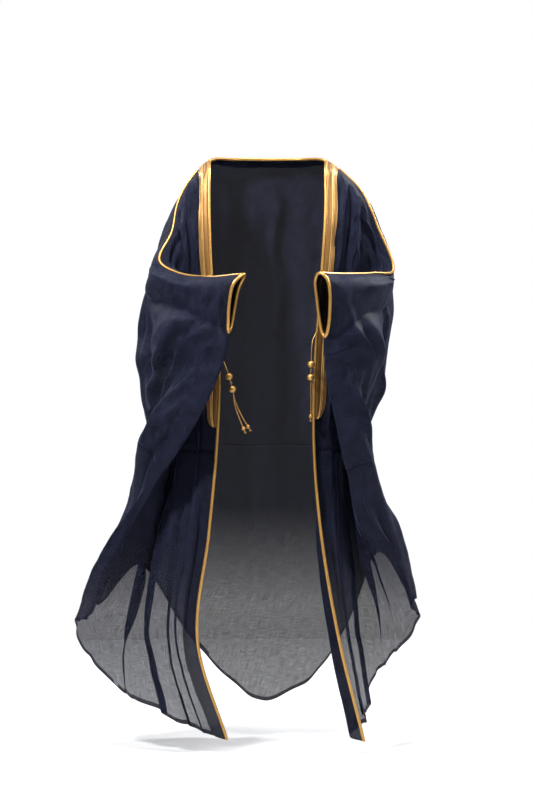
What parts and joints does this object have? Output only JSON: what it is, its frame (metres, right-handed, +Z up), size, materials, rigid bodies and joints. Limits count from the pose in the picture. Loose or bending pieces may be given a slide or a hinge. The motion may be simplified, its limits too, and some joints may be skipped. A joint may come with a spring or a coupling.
{
  "type": "bisht cloak",
  "caption": "Long open-fronted cloak worn over bent forearms, with gold piping, front bands, short sleeve mouths and knotted cord tassels.",
  "frame": {"origin": "on the neck line, midway between the neck ends of the shoulder seams, where the wearer's shoulders hold the cloak", "axes": "+Z up along the standing wearer, front towards -Y, the wearer's right at -X"},
  "size_m": [0.8823, 0.5913, 1.4948],
  "materials": {
    "cloth": "fine semi-sheer weave",
    "gold_cord": "metallic gold thread",
    "gold_band": "metallic gold embroidery",
    "gold_bead": "wound metallic gold thread"
  },
  "bodies": {
    "root": {"right_front_upper": "cloth", "right_front_lower": "cloth", "right_sleeve": "cloth", "back_upper": "cloth", "left_sleeve": "cloth", "back_lower": "cloth", "left_front_upper": "cloth", "left_front_lower": "cloth", "edge_piping": "gold_cord", "arm_seam_cord_right": "gold_cord", "arm_seam_cord_left": "gold_cord", "cuff_cord_right": "gold_cord", "cuff_cord_left": "gold_cord", "gold_band_right": "gold_band", "gold_band_left": "gold_band", "gold_band_neck": "gold_band", "tassel_main_cord_right": "gold_cord", "tassel_second_cord_right": "gold_cord", "tassel_main_cord_left": "gold_cord", "tassel_second_cord_left": "gold_cord", "tassel_bead_right_1": "gold_bead", "tassel_bead_right_2": "gold_bead", "tassel_bead_left_1": "gold_bead", "tassel_bead_left_2": "gold_bead", "tassel_end_right_main": "gold_bead", "tassel_end_right_second": "gold_bead", "tassel_end_left_main": "gold_bead"}
  },
  "joints": []
}
